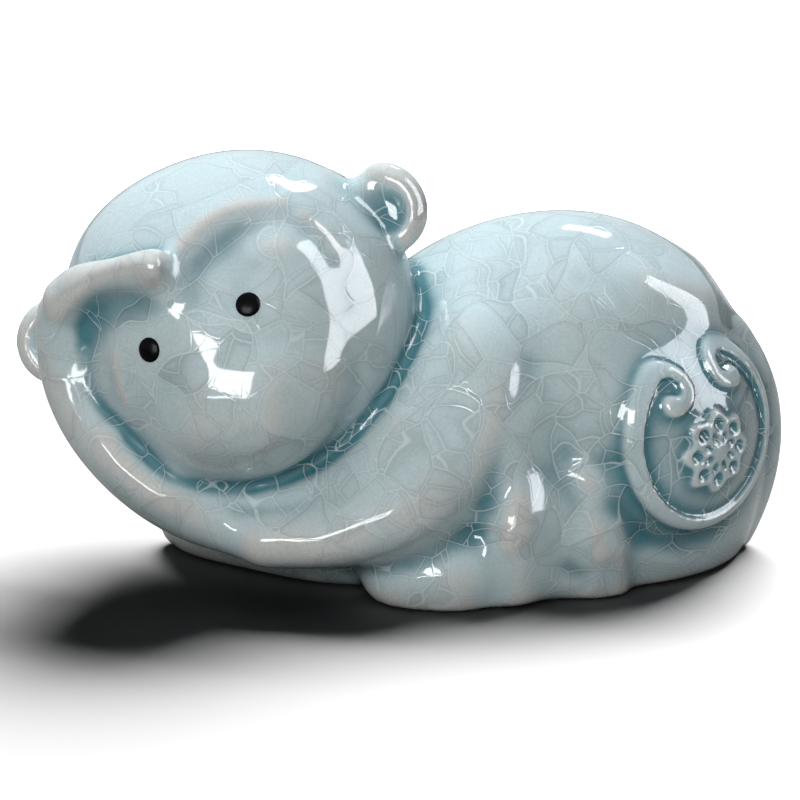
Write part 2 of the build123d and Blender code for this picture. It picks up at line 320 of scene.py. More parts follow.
@dataclass(frozen=True)
class Stroke:
    """A groove, or with a depth below zero a ridge, along a line through places of the figurine."""

    line: tuple[Place, ...]
    depth: float
    width: float
    mirrored: bool = False

    def cut(self, surface: Surface) -> None:
        """Presses the stroke into a surface."""
        line = np.array(self.line)
        depth = self.depth * fall_off(distance_to_line(surface.points, line), self.width)
        if self.mirrored:
            depth += self.depth * fall_off(distance_to_line(surface.points, across(line)), self.width)
        surface.push(-depth)


@dataclass(frozen=True)
class Patch:
    """A round patch of the surface, and how strongly something is done there."""

    place: Place
    reach: float
    amount: float
    mirrored: bool = False

    def weight(self, points: Array) -> Array:
        """How much each point belongs to the patch.

        Args:
            points: one row of X, Y and Z for each, in millimetres.

        Returns:
            One in the patch's inner half, zero outside it and smooth between.
        """
        centre = np.array(self.place)
        away = np.linalg.norm(points - centre, axis=1)
        if self.mirrored:
            away = np.minimum(away, np.linalg.norm(points - across(centre), axis=1))
        return 1 - soft_step(away, self.reach / 2, self.reach)


@dataclass
class Handwork:
    """Everything that is filled, smoothed or cut after the pieces are luted together."""

    # How wide creases are filled, in millimetres
    trunk_fills: tuple[Patch, ...] = (Patch((15.0, -18.0, 3.0), 13.0, 2.5, mirrored=True),)
    fills: tuple[Patch, ...] = (
        Patch((-4.5, -8.5, 43.5), 8.0, 1.8),
        Patch((-24.4, -21.7, 38.8), 5.0, 1.2),
        Patch((-0.6, -9.5, 42.9), 3.5, 1.5),
    )
    # The flank is filled out beside the shoulder, the shoulder's roll is pressed flat, and the
    # raised arm, the chest's lower ridge and the rump are filled out
    trunk_bulges: tuple[Stroke, ...] = (
        Stroke(((10.5, -14.5, 30.0), (11.0, -17.0, 26.0), (11.0, -18.5, 22.0)), -2.0, 4.5),
        Stroke(((18.0, -12.0, 32.5), (20.0, -13.5, 28.0), (20.5, -15.0, 23.5)), -2.1, 5.2, mirrored=True),
        Stroke(
            ((-16.0, -24.0, 13.5), (-6.0, -25.0, 16.5), (1.0, -25.0, 20.5), (6.0, -23.0, 25.0)),
            3.4, 5.5,
        ),
        Stroke(((-31.5, -20.5, 20.0), (-29.5, -22.0, 17.0), (-27.0, -22.5, 15.0)), -0.9, 3.0),
        Stroke(((-15.0, -21.5, 8.5), (-7.0, -22.5, 10.0), (2.0, -22.5, 13.0)), -1.8, 3.0),
        Stroke(((28.0, -8.0, 34.0), (33.0, -5.5, 31.5)), -1.2, 4.0, mirrored=True),
    )
    # How many rounds of smoothing: on the trunk, then on the whole figurine, then over the sprigs
    trunk_softenings: tuple[Patch, ...] = (
        Patch((7.0, -19.5, 26.0), 15.0, 120),
        Patch((-1.0, -23.0, 19.0), 15.0, 200),
        Patch((17.0, -14.0, 28.0), 12.0, 200, mirrored=True),
        Patch((17.0, -18.5, 3.0), 9.0, 60, mirrored=True),
    )
    softenings: tuple[Patch, ...] = (
        Patch((-24.4, -21.7, 38.8), 3.6, 60),
        Patch((-5.0, -9.0, 44.5), 4.5, 60),
    )
    sprig_softenings: tuple[Patch, ...] = (Patch((36.2, -13.1, 17.5), 22.0, 10, mirrored=True),)
    # The crease behind the shoulder and those round the haunch, then ridges and a notch of the leg
    trunk_strokes: tuple[Stroke, ...] = (
        Stroke(
            ((13.7, -15.2, 26.9), (11.9, -18.0, 23.1), (10.8, -20.0, 19.0), (9.9, -20.6, 15.5),
             (9.2, -20.4, 12.7)),
            0.7, 1.3,
        ),
        Stroke(
            ((22.7, -17.0, 16.7), (24.0, -17.0, 11.5), (27.0, -14.8, 6.6), (31.7, -12.6, 4.9),
             (36.4, -9.7, 5.8)),
            0.35, 1.3, mirrored=True,
        ),
        Stroke(((20.1, -9.4, 34.7), (30.0, -7.5, 31.0), (39.9, -1.2, 25.2)), 0.3, 1.6, mirrored=True),
        Stroke(((12.6, -18.8, 17.8), (12.8, -20.4, 13.0), (12.6, -21.2, 8.6)), -0.4, 1.4, mirrored=True),
        Stroke(((20.5, -17.0, 18.5), (21.0, -17.8, 12.0), (22.5, -18.0, 6.0)), -0.3, 1.3, mirrored=True),
        Stroke(((18.8, -18.0, 4.6), (20.4, -17.6, 3.4)), 0.5, 1.2, mirrored=True),
    )
    strokes: tuple[Stroke, ...] = (
        # The rise of the brow from the hand to the crown, and its fold by the ear
        Stroke(
            ((-23.5, -19.6, 41.6), (-21.0, -18.2, 44.0), (-17.9, -17.0, 45.3), (-13.1, -16.0, 45.7)),
            -0.22, 1.5,
        ),
        Stroke(((-10.5, -16.0, 44.6), (-8.4, -16.4, 42.6), (-7.2, -17.0, 40.6)), -0.3, 1.1),
        Stroke(((-11.0, -17.6, 42.8), (-9.4, -18.0, 41.0), (-8.8, -18.6, 39.2)), 0.18, 1.0),
        # The arc over the near eye and the ring beside it
        Stroke(((-18.9, -21.6, 39.8), (-17.2, -21.3, 40.7), (-15.6, -21.1, 40.6)), 0.12, 0.5),
        Stroke(((-14.6, -22.8, 38.2), (-14.1, -23.0, 36.9), (-14.4, -23.2, 35.5)), 0.07, 0.45),
        # The bridge of the nose is pressed in, and the muzzle is a low cushion down to the chin
        Stroke(((-21.5, -22.6, 36.6), (-18.5, -22.9, 36.8)), 0.5, 2.6),
        Stroke(((-15.8, -22.0, 40.0), (-12.5, -22.0, 39.6)), 0.55, 3.0),
        Stroke(((-20.5, -25.0, 30.3), (-18.0, -25.6, 30.6), (-14.5, -25.6, 30.6)), -0.6, 3.5),
        Stroke(((-20.5, -26.0, 26.6), (-18.0, -26.6, 26.8), (-14.5, -26.6, 26.8)), -0.6, 3.5),
        Stroke(((-20.5, -26.0, 22.8), (-18.0, -26.4, 23.0), (-14.5, -26.4, 23.0)), -0.6, 3.5),
        # The mouth
        Stroke(((-17.0, -26.4, 22.8), (-15.4, -26.4, 23.8)), 0.3, 0.8),
        # The far cheek, and the ridge inside the arm
        Stroke(((-31.6, -19.6, 29.6), (-30.9, -19.9, 27.0), (-30.2, -20.0, 24.6)), -0.35, 1.0),
        Stroke(
            ((-36.2, -15.6, 30.4), (-35.3, -15.8, 27.0), (-33.6, -16.8, 23.4), (-31.6, -18.0, 20.6)),
            -0.35, 1.4,
        ),
    )

    def reach(self, points: Array, least: float, fills: tuple[Patch, ...]) -> Array:
        """How wide the creases are filled at each point."""
        reach = np.full(len(points), least)
        for patch in fills:
            reach = np.maximum(reach, least + (patch.amount - least) * patch.weight(points))
        return reach

    def work(
        self, surface: Surface, softenings: tuple[Patch, ...], strokes: tuple[Stroke, ...] = ()
    ) -> None:
        """Smooths the patches, each by as many rounds as its amount, and then cuts the strokes."""
        for patch in softenings:
            surface.smooth(int(patch.amount), patch.weight(surface.points))
        for stroke in strokes:
            stroke.cut(surface)


@dataclass
class FaceCarving:
    """How the potter finishes the face and the cap. Places are shares of the head's radius, and a
    pair is the two ends of a fade."""

    head: Head = field(default_factory=Head)
    # The brow and jaw line, from the dip between the brows round to the chin
    outline_shares: tuple[Pair, ...] = (
        (0.0, 0.38), (0.157, 0.49), (0.34, 0.54), (0.553, 0.498), (0.73, 0.37), (0.81, 0.143),
        (0.81, 0.0), (0.748, -0.288), (0.697, -0.488), (0.608, -0.7), (0.422, -0.815), (0.0, -0.878),
    )
    # How far out of the head the face's front is, and how far from its middle the carving ends
    front: Pair = (0.15, 0.35)
    outermost: float = 1.3
    outer_fade: float = 0.12
    forehead: Pair = (0.0, 0.48)
    cheek_side: Pair = (0.3, 0.6)
    cheek_top: Pair = (0.32, 0.5)
    cheek_bottom: Pair = (-0.75, -0.4)
    jaw: Pair = (-0.5, -0.15)
    jaw_slope: float = 0.3
    cap_place: Place = (-0.5, 0.8, 0.2)
    cap_size: float = 0.42
    # Lengths in millimetres
    inner_fade: float = 2.5
    forehead_depth: float = 1.7
    cheek_rise: float = 0.7
    cap_height: float = 0.8
    brow_width: float = 3.0
    groove_depth: float = 0.25
    groove_width: float = 1.0
    groove_inset: float = 0.7
    # Rounds of smoothing
    face_rounds: int = 160
    brow_rounds: int = 50
    cheek_rounds: int = 250

    def line_offset(self, x: Array, y: Array) -> Array:
        """How far each place is outside the brow and jaw line, in millimetres."""
        corners = np.array(self.outline_shares)
        around = np.arctan2(corners[:, 0], corners[:, 1])
        reach = np.hypot(corners[:, 0], corners[:, 1])
        place = np.interp(np.arctan2(np.abs(x), y), around, reach)
        return (np.hypot(x, y) - place) * self.head.radius

    def carve(self, surface: Surface) -> None:
        """Smooths the face and the brow, fills out the cap and cuts the groove under the jaw."""
        x, y, z = self.head.local(surface.points).T
        from_middle = np.sqrt(x * x + y * y + z * z)
        on_face = soft_step(z, *self.front) * soft_step(self.outermost - from_middle, 0.0, self.outer_fade)
        offset = self.line_offset(x, y)
        inside = on_face * (1 - soft_step(offset, -self.inner_fade, 0.0))
        near_cheek = soft_step(x, *self.cheek_side)
        near_cheek = near_cheek * (1 - soft_step(y, *self.cheek_top)) * soft_step(y, *self.cheek_bottom)
        # The forehead stands upright under the brow
        forehead = soft_step(y, *self.forehead) * (1 - near_cheek)
        surface.push(inside * (self.cheek_rise * near_cheek - self.forehead_depth * forehead))
        # The brow's edge is worn away; the jaw's stays
        jaw = 1 - soft_step(y + self.jaw_slope * x, *self.jaw)
        surface.smooth(self.face_rounds, inside)
        brow = on_face * fall_off(offset, self.brow_width) * (1 - jaw)
        surface.smooth(self.brow_rounds, brow)
        surface.smooth(self.cheek_rounds, brow * near_cheek)
        from_cap = np.linalg.norm(np.stack([x, y, z], 1) - np.array(self.cap_place), axis=1)
        surface.push(self.cap_height * fall_off(from_cap, self.cap_size))
        groove = fall_off(offset + self.groove_inset, self.groove_width)
        surface.push(-self.groove_depth * groove * on_face * jaw)


@dataclass
class EnamelDrops:
    """The eyes: drops of enamel that lie on the carved face, where the frame has its dots."""

    # How far a drop stands out of the glaze, and how far out the search for the glaze starts
    proud: float = 0.5
    start: float = 5.0
    sides: int = 48

    def drop(self, name: str, glazed: BVHTree) -> Object:
        """One drop, half of it under the glaze.

        Args:
            name: the dot's node.
            glazed: the surface of the glaze, in millimetres.

        Returns:
            The drop, in metres.
        """
        low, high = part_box(name)
        radius = max(high - low) / MM / 2
        centre = (low + high) / MM / 2
        normal = glazed.find_nearest(centre)[1]
        place, normal, _, _ = glazed.ray_cast(centre + self.start * normal, -normal)
        form = bmesh.new()
        bmesh.ops.create_uvsphere(form, u_segments=self.sides, v_segments=self.sides // 2, radius=radius)
        bmesh.ops.scale(form, vec=(1, 1, self.proud / radius), verts=form.verts)
        turn = normal.to_track_quat("Z", "Y").to_matrix()
        bmesh.ops.rotate(form, cent=(0, 0, 0), matrix=turn, verts=form.verts)
        bmesh.ops.translate(form, vec=place, verts=form.verts)
        bmesh.ops.scale(form, vec=(MM, MM, MM), verts=form.verts)
        made = object_of(name + "_enamel", form)
        for face in made.data.polygons:
            face.use_smooth = True
        return made


@dataclass
class VentSleeve:
    """The bore of the vent in the floor, closed where the hollow begins."""

    centre: Pair = (21.17, 1.0)
    bore: float = 3.0
    wall: float = 1.5
    height: float = 12.0
    sides: int = 64

    def form(self) -> Form:
        """A closed cup, upside down over the vent, spun from its profile."""
        form = bmesh.new()
        x, y = self.centre
        outer = self.bore + self.wall
        profile = [
            (0.0, self.height - self.wall), (self.bore, self.height - self.wall), (self.bore, self.wall),
            (outer, self.wall), (outer, self.height), (0.0, self.height),
        ]
        corners = [form.verts.new((x + reach, y, up)) for reach, up in profile]
        lines = [form.edges.new(pair) for pair in zip(corners, corners[1:])]
        bmesh.ops.spin(
            form, geom=corners + lines, cent=(x, y, 0), axis=(0, 0, 1), angle=2 * math.pi,
            steps=self.sides, use_merge=True,
        )
        bmesh.ops.remove_doubles(form, verts=form.verts, dist=TOUCHING)
        bmesh.ops.recalc_face_normals(form, faces=form.faces)
        return form


@dataclass
class HaunchSmoothing:
    """Where the haunch runs into the back without a crease, in its own frame and in millimetres. A
    pair is the two ends of a fade."""

    place: Place = (30.65, -7.3, 16.3)
    turn: float = 44.0
    reach: float = 17.0
    reach_fade: float = 3.0
    # The crease is smoothed away near the skin and above a sloping line, towards the back
    open_side: Pair = (-3.0, 5.0)
    open_slope: float = 0.35
    skin: Pair = (-6.0, -2.0)
    # The glaze that gathers on the pad
    gather: float = 0.16
    gather_lift: float = 0.5
    gather_reach: Pair = (11.0, 17.0)
    gather_skin: Pair = (0.0, 4.0)

    def local(self, points: Array) -> Array:
        """Points of the figurine in the haunch's frame: X to the rear, Y up, Z out of the flank."""
        turn = Matrix.Rotation(math.radians(self.turn), 3, "Z") @ Matrix.Rotation(math.pi / 2, 3, "X")
        return (points - np.array(self.place)) @ np.array(turn)

    def both_sides(self, points: Array) -> list[Array]:
        """Every point in the near haunch's frame, then in the far haunch's."""
        return [self.local(points), self.local(across(points))]

    def weight(self, points: Array) -> Array:
        """One where the crease is smoothed away, on the near and on the far haunch."""
        total = np.zeros(len(points))
        for local in self.both_sides(points):
            x, y, z = local.T
            near = 1 - soft_step(np.hypot(x, y), self.reach - self.reach_fade, self.reach)
            upper = soft_step(y - self.open_slope * x, *self.open_side)
            total = np.maximum(total, near * upper * soft_step(z, *self.skin))
        return total

    def extra_glaze(self, points: Array) -> Array:
        """The glaze that gathers on the pad, inside the scroll and below it."""
        total = np.zeros(len(points))
        for local in self.both_sides(points):
            x, y, z = local.T
            on_pad = 1 - soft_step(np.hypot(x, y - self.gather_lift), *self.gather_reach)
            total = np.maximum(total, on_pad * soft_step(z, *self.gather_skin))
        return self.gather * total


@dataclass
class GlazeCoat:
    """One closed coat of glaze over every clay piece. Lengths are millimetres."""

    nodes: dict[str, Object]
    hands: Handwork = field(default_factory=Handwork)
    face: FaceCarving = field(default_factory=FaceCarving)
    vent: VentSleeve = field(default_factory=VentSleeve)
    haunch: HaunchSmoothing = field(default_factory=HaunchSmoothing)
    # Sizes of the voxels that the coat, the trunk and the sprigs are rebuilt from
    voxel: float = 0.25
    trunk_voxel: float = 0.4
    sprig_voxel: float = 0.15
    # How wide creases fill in the legs, in the trunk, and where the head and the ears meet it
    leg_fill: float = 6.0
    body_fill: float = 1.2
    crease_fill: float = 0.55
    # How far a scroll is drawn in under the glaze
    scroll_draw: float = 0.05
    # Rounds of smoothing, in the order in which they are done
    haunch_rounds: int = 70
    trunk_rounds: int = 4
    soften_rounds: int = 10
    carved_rounds: int = 2
    sprig_rounds: int = 2
    last_rounds: int = 3
    # Glaze lies thick in fine, in broad and in wide hollows, each with its share
    plain_thickness: float = 0.5
    plain_bend: float = 0.035
    fine_share: float = 2.0
    fine_rounds: int = 6
    fine_spread: int = 3
    broad_share: float = 0.9
    broad_rounds: int = 60
    wide_share: float = 0.8
    wide_spread: int = 120
    most_triangles: int = 190000
    # Steps from point to point before the points that are outside are counted again
    flood_steps: int = 20
    # Z of the normal of a face that looks down
    downward: float = -0.9

    def clay(self, name: str) -> Form:
        """One clay piece's form, closed, in millimetres."""
        form = bmesh.new()
        form.from_mesh(self.nodes[name].data)
        bmesh.ops.scale(form, vec=Vector((1, 1, 1)) / MM, verts=form.verts)
        bmesh.ops.remove_doubles(form, verts=form.verts, dist=TOUCHING)
        return form

    def sprig(self, name: str) -> Form:
        """One sprig's form. A scroll is drawn in a little under the glaze."""
        sprig = self.joined(name + "_form", [self.clay(name)])
        self.remesh(sprig, self.sprig_voxel)
        surface = Surface(sprig.data)
        surface.smooth(self.sprig_rounds)
        if name.endswith("scroll"):
            surface.push(np.full(len(surface.points), -self.scroll_draw))
        surface.write()
        return self.form_of(sprig)

    def joined(self, name: str, forms: list[Form]) -> Object:
        """Several closed forms as one object, which frees them."""
        whole = bmesh.new()
        carrier = bpy.data.meshes.new(name)
        for form in forms:
            form.to_mesh(carrier)
            form.free()
            whole.from_mesh(carrier)
        bpy.data.meshes.remove(carrier)
        return object_of(name, whole)

    def form_of(self, piece: Object) -> Form:
        """An object's mesh as a form, which removes the object."""
        form = bmesh.new()
        form.from_mesh(piece.data)
        mesh = piece.data
        bpy.data.objects.remove(piece)
        bpy.data.meshes.remove(mesh)
        return form

    def apply(self, coat: Object, kind: str, **settings) -> None:
        """Adds one modifier, bakes its result into the mesh and removes it."""
        modifier = coat.modifiers.new(kind.lower(), kind)
        for name, value in settings.items():
            setattr(modifier, name, value)
        graph = bpy.context.evaluated_depsgraph_get()
        result = bpy.data.meshes.new_from_object(coat.evaluated_get(graph))
        coat.modifiers.clear()
        old = coat.data
        coat.data = result
        bpy.data.meshes.remove(old)

    def remesh(self, coat: Object, voxel: float) -> None:
        """Rebuilds the coat from voxels, which joins whatever touches."""
        self.apply(coat, "REMESH", mode="VOXEL", voxel_size=voxel)

    def keep_outside(self, coat: Object) -> None:
        """Deletes the hollows, which no longer open to the outside."""
        surface = Surface(coat.data)
        reached = np.zeros(len(surface.points))
        reached[np.argmax(surface.points[:, 2])] = 1
        first, second = surface.edges.T
        before = 0
        while reached.sum() > before:
            before = reached.sum()
            for _ in range(self.flood_steps):
                np.maximum.at(reached, first, reached[second])
                np.maximum.at(reached, second, reached[first])
        form = bmesh.new()
        form.from_mesh(coat.data)
        form.verts.ensure_lookup_table()
        inside = [form.verts[i] for i in np.flatnonzero(reached == 0)]
        bmesh.ops.delete(form, geom=inside, context="VERTS")
        form.to_mesh(coat.data)
        form.free()

    def fill_creases(self, coat: Object, least: float, fills: tuple[Patch, ...], voxel: float) -> None:
        """Swells the form and draws it back, which leaves glaze in each crease.

        Args:
            coat: the object.
            least: how far it swells everywhere, in millimetres.
            fills: patches that swell further.
            voxel: the size of the voxels that it is rebuilt from.
        """
        self.remesh(coat, voxel)
        for way in (1, -1):
            surface = Surface(coat.data)
            surface.push(way * self.hands.reach(surface.points, least, fills))
            surface.write()
            self.remesh(coat, voxel)

    def bend(self, surface: Surface, rounds: int) -> Array:
        """How far smoothing would lift each point along its normal: the depth of the hollow there."""
        kept = surface.points.copy()
        normals = surface.normals()
        surface.smooth(rounds)
        lift = np.einsum("ij,ij->i", surface.points - kept, normals)
        surface.points = kept
        return lift

    def pool(self, surface: Surface) -> Array:
        """How thick the glaze lies at each point: more than a half in hollows, less on ridges."""
        fine = surface.spread(self.bend(surface, self.fine_rounds), self.fine_spread)
        broad = self.bend(surface, self.broad_rounds)
        wide = surface.spread(np.maximum(broad + self.plain_bend, 0), self.wide_spread)
        lean = self.fine_share * fine + self.broad_share * (broad + self.plain_bend)
        return self.plain_thickness + lean + self.wide_share * wide

    def trunk(self, legs: list[str], body: list[str]) -> Form:
        """The trunk with its limbs and its vent, smoothed and cut.

        Args:
            legs: nodes of the folded legs, whose creases fill before they are joined to the rest.
            body: nodes of the torso, the arms, the haunches, the feet and the tail.

        Returns:
            The form.
        """
        forms = []
        for name in legs:
            leg = self.joined(name, [self.clay(name)])
            self.fill_creases(leg, self.leg_fill, (), self.trunk_voxel)
            forms.append(self.form_of(leg))
        forms += [self.clay(name) for name in body] + [self.vent.form()]
        trunk = self.joined("trunk", forms)
        self.fill_creases(trunk, self.body_fill, self.hands.trunk_fills, self.trunk_voxel)
        surface = Surface(trunk.data)
        surface.smooth(self.haunch_rounds, self.haunch.weight(surface.points))
        surface.smooth(self.trunk_rounds)
        self.hands.work(surface, (), self.hands.trunk_bulges)
        self.hands.work(surface, self.hands.trunk_softenings, self.hands.trunk_strokes)
        surface.points[:, 2] = np.maximum(surface.points[:, 2], 0)
        surface.write()
        return self.form_of(trunk)

    def figure(self, trunk: Form, ends: list[str]) -> Form:
        """The trunk with the head and the ears on it, carved, and without its hollows.

        Args:
            trunk: the trunk's form.
            ends: nodes of the head and the ears.

        Returns:
            The form.
        """
        coat = self.joined("glaze_coat", [trunk] + [self.clay(name) for name in ends])
        self.fill_creases(coat, self.crease_fill, self.hands.fills, self.voxel)
        self.keep_outside(coat)
        surface = Surface(coat.data)
        log.info("coat: %d points after the creases fill", len(surface.points))
        surface.smooth(self.soften_rounds)
        self.face.carve(surface)
        self.hands.work(surface, self.hands.softenings, self.hands.strokes)
        surface.smooth(self.carved_rounds)
        surface.write()
        return self.form_of(coat)

    def build(self, slots: list[Material]) -> tuple[Object, BVHTree]:
        """Makes the coat and its glaze attribute.

        Args:
            slots: the glaze, and the bare clay of the underside.

        Returns:
            The finished object in metres, and its surface in millimetres, on which enamel is laid.
        """
        sprigs = [name for name in self.nodes if name.endswith(("scroll", "lotus"))]
        legs = [name for name in self.nodes if name.endswith("leg")]
        ends = [name for name in self.nodes if name.startswith(("head", "near_ear", "far_ear"))]
        body = [name for name in self.nodes if name not in (*sprigs, *legs, *ends, *EYE_NODES)]
        figure = self.figure(self.trunk(legs, body), ends)
        coat = self.joined("glaze_coat", [figure] + [self.sprig(name) for name in sprigs])
        self.remesh(coat, self.voxel)
        surface = Surface(coat.data)
        surface.smooth(self.last_rounds)
        self.hands.work(surface, self.hands.sprig_softenings)
        # The underside is kept in its plane
        surface.points[surface.points[:, 2] < self.voxel / 2, 2] = 0
        surface.write()
        thickness = self.pool(surface) + self.haunch.extra_glaze(surface.points)
        layer = coat.data.attributes.new("glaze_thickness", "FLOAT", "POINT")
        layer.data.foreach_set("value", np.clip(thickness, 0, 1).astype(np.float32))
        faces = [tuple(face.vertices) for face in coat.data.polygons]
        glazed = BVHTree.FromPolygons([tuple(point) for point in surface.points], faces)
        coat.data.transform(Matrix.Diagonal((MM, MM, MM, 1)))
        share = self.most_triangles / sum(len(face) - 2 for face in faces)
        if share < 1:
            self.apply(coat, "DECIMATE", ratio=share)
        for face in coat.data.polygons:
            face.use_smooth = True
        for material in slots:
            coat.data.materials.append(material)
        self.bare_underside(coat.data)
        return coat, glazed

    def bare_underside(self, mesh: bpy.types.Mesh) -> None:
        """Gives the flat underside and the vent's bore the bare clay."""
        x, y = self.vent.centre
        for face in mesh.polygons:
            place = face.center / MM
            in_bore = math.hypot(place.x - x, place.y - y) < self.vent.bore + self.voxel
            flat = place.z < self.voxel and face.normal.z < self.downward
            if flat or (in_bore and place.z < self.vent.height):
                face.material_index = 1


@dataclass(frozen=True)
class CrackleGlaze:
    """A thick alkaline glaze on stoneware, glossy as glass. It shrank more than the clay, so it is
    crossed by fine cracks: long ones first, then shorter ones that stop at them. Lengths are
    millimetres."""

    name: str = "crackle_celadon_glaze"
    body: str = "B7C8CB"
    pooled: str = "467983"
    thin: str = "C6C8C5"
    line: str = "DCE9EB"
    # Places on the scale of the glaze's thickness where each colour is pure
    thin_at: float = 0.38
    body_at: float = 0.5
    pooled_at: float = 0.9
    # Sizes of the cells of each generation of cracks, and the share of cells that stay whole at last
    first_cell: float = 13.0
    second_cell: float = 6.4
    third_cell: float = 4.0
    whole_share: float = 0.3
    # How far the later patterns are moved in each cell of the earlier ones
    second_shift: float = 37.0
    third_shift: float = 23.0
    line_width: float = 0.08
    line_share: float = 0.52
    shade_width: float = 0.4
    shade_depth: float = 0.15
    # The glaze beside each crack is lighter or darker, by a random tone of its cell
    beside_width: float = 0.9
    beside_tone: float = 0.24
    cell_tone: float = 0.03
    # The cracks wander
    warp_size: float = 10.0
    warp_detail: float = 1.5
    warp_reach: float = 3.0
    grain: float = 0.28
    grain_detail: float = 2.0
    grain_tone: float = 0.3
    # Clouds in the glaze's thickness, and swells in its surface
    cloud: float = 7.0
    cloud_detail: float = 3.0
    cloud_depth: float = 0.12
    swell: float = 5.0
    swell_detail: float = 1.0
    swell_height: float = 0.25
    line_height: float = 0.015
    relief: float = 0.35
    roughness: float = 0.07
    ior: float = 1.55

    def cells(self, tree: Tree, place: Socket, size: float) -> tuple[Socket, Socket]:
        """One generation of cracks.

        Args:
            tree: the material's nodes.
            place: the socket of places.
            size: the cells' size.

        Returns:
            The distance to the nearest crack, and a random colour for each cell.
        """
        inputs = {"Vector": place, "Scale": 1 / size}
        edge = add_node(tree, "TexVoronoi", inputs, feature="DISTANCE_TO_EDGE")
        cell = add_node(tree, "TexVoronoi", inputs, feature="F1")
        return maths(tree, "MULTIPLY", edge.outputs["Distance"], size), cell.outputs["Color"]

    def shifted(self, tree: Tree, place: Socket, colour: Socket, reach: float) -> Socket:
        """Places moved by a colour. Where that is a cell's own, a pattern stops at the cell's edge."""
        inputs = {0: place, 1: scaled(tree, colour, reach)}
        return add_node(tree, "VectorMath", inputs, operation="ADD").outputs[0]

    def warped(self, tree: Tree, place: Socket) -> Socket:
        """Places that wander by up to the warp's reach, so that no crack is straight."""
        inputs = {"Vector": place, "Scale": 1 / self.warp_size, "Detail": self.warp_detail}
        drift = add_node(tree, "TexNoise", inputs).outputs["Color"]
        inputs = {0: drift, 1: (0.5, 0.5, 0.5)}
        both_ways = add_node(tree, "VectorMath", inputs, operation="SUBTRACT").outputs[0]
        return self.shifted(tree, place, both_ways, 2 * self.warp_reach)

    def cracks(self, tree: Tree, place: Socket) -> tuple:
        """All three generations.

        Args:
            tree: the material's nodes.
            place: the socket of places.

        Returns:
            The distance to the nearest crack, then three random values for each of the first cells
            and three for each of the second cells, by the names of the primary colours.
        """
        warped = self.warped(tree, place)
        first, colour = self.cells(tree, warped, self.first_cell)
        first_tones = add_node(tree, "SeparateColor", {0: colour}).outputs
        moved = self.shifted(tree, warped, colour, self.second_shift)
        second, colour = self.cells(tree, moved, self.second_cell)
        second_tones = add_node(tree, "SeparateColor", {0: colour}).outputs
        moved = self.shifted(tree, warped, colour, self.third_shift)
        third, _ = self.cells(tree, moved, self.third_cell)
        # Only some of the second cells are broken again
        whole = maths(tree, "LESS_THAN", second_tones["Blue"], self.whole_share)
        third = maths(tree, "ADD", third, maths(tree, "MULTIPLY", whole, self.third_cell))
        nearest = maths(tree, "MINIMUM", maths(tree, "MINIMUM", first, second), third)
        return nearest, first_tones, second_tones

    def thickness_colour(self, tree: Tree, place: Socket) -> Socket:
        """The glaze's colour where it is whole, by how thick it lies."""
        cloud = centred(tree, noise(tree, place, self.cloud, self.cloud_detail))
        depth = add_node(tree, "Attribute", attribute_name="glaze_thickness").outputs["Fac"]
        depth = maths(tree, "ADD", depth, maths(tree, "MULTIPLY", cloud, self.cloud_depth))
        colours = ramp(tree, depth, (self.thin_at, self.thin), (self.pooled_at, self.pooled))
        colours.color_ramp.interpolation = "EASE"
        colours.color_ramp.elements.new(self.body_at).color = linear(self.body)
        return colours.outputs["Color"]

    def build(self) -> Material:
        """The material, on Object coordinates and the glaze attribute."""
        material, tree, shader = principled(self.name)
        place = scaled(tree, add_node(tree, "TexCoord").outputs["Object"], 1 / MM)
        nearest, first, second = self.cracks(tree, place)
        line, shade, beside = (
            maths(tree, "SUBTRACT", 1.0, maths(tree, "DIVIDE", nearest, width, clamp=True), clamp=True)
            for width in (self.line_width, self.shade_width, self.beside_width)
        )
        shares = (
            (maths(tree, "MULTIPLY", beside, centred(tree, second["Red"])), self.beside_tone),
            (centred(tree, first["Green"]), self.cell_tone),
            (centred(tree, second["Green"]), self.cell_tone),
            (centred(tree, noise(tree, place, self.grain, self.grain_detail)), self.grain_tone),
            (shade, -self.shade_depth),
        )
        tone = 1.0
        for value, share in shares:
            tone = maths(tree, "ADD", tone, maths(tree, "MULTIPLY", value, share))
        toned = scaled(tree, self.thickness_colour(tree, place), tone)
        colour = mixed_colour(tree, maths(tree, "MULTIPLY", line, self.line_share), toned, linear(self.line))

        swell = maths(tree, "MULTIPLY", noise(tree, place, self.swell, self.swell_detail), self.swell_height)
        height = maths(tree, "SUBTRACT", swell, maths(tree, "MULTIPLY", line, self.line_height))
        inputs = {"Height": height, "Strength": self.relief, "Distance": MM}
        bump = add_node(tree, "Bump", inputs).outputs[0]
        inputs = {"Base Color": colour, "Normal": bump, "Roughness": self.roughness, "IOR": self.ior}
        feed(tree, shader, inputs)
        return material


@dataclass(frozen=True)
class BareClay:
    """Unglazed stoneware where the figurine stood on the kiln shelf: pale buff, dry and sandy."""

    name: str = "unglazed_stoneware"
    colour: str = "CDBFAE"
    speck: str = "A8937C"
    # Places on the scale of the grit's noise where each colour is pure
    speck_at: float = 0.3
    colour_at: float = 0.55
    # The size and the height of the grit, in millimetres
    grit: float = 0.4
    grit_detail: float = 3.0
    grit_height: float = 0.1
    relief: float = 0.5
    roughness: float = 0.85

    def build(self) -> Material:
        """The material, with grit in its colour and its height."""
        material, tree, shader = principled(self.name)
        origin = add_node(tree, "TexCoord").outputs["Object"]
        grit = noise(tree, origin, self.grit * MM, self.grit_detail)
        colour = ramp(tree, grit, (self.speck_at, self.speck), (self.colour_at, self.colour)).outputs["Color"]
        inputs = {"Height": grit, "Strength": self.relief, "Distance": self.grit_height * MM}
        bump = add_node(tree, "Bump", inputs).outputs[0]
        feed(tree, shader, {"Base Color": colour, "Normal": bump, "Roughness": self.roughness})
        return material


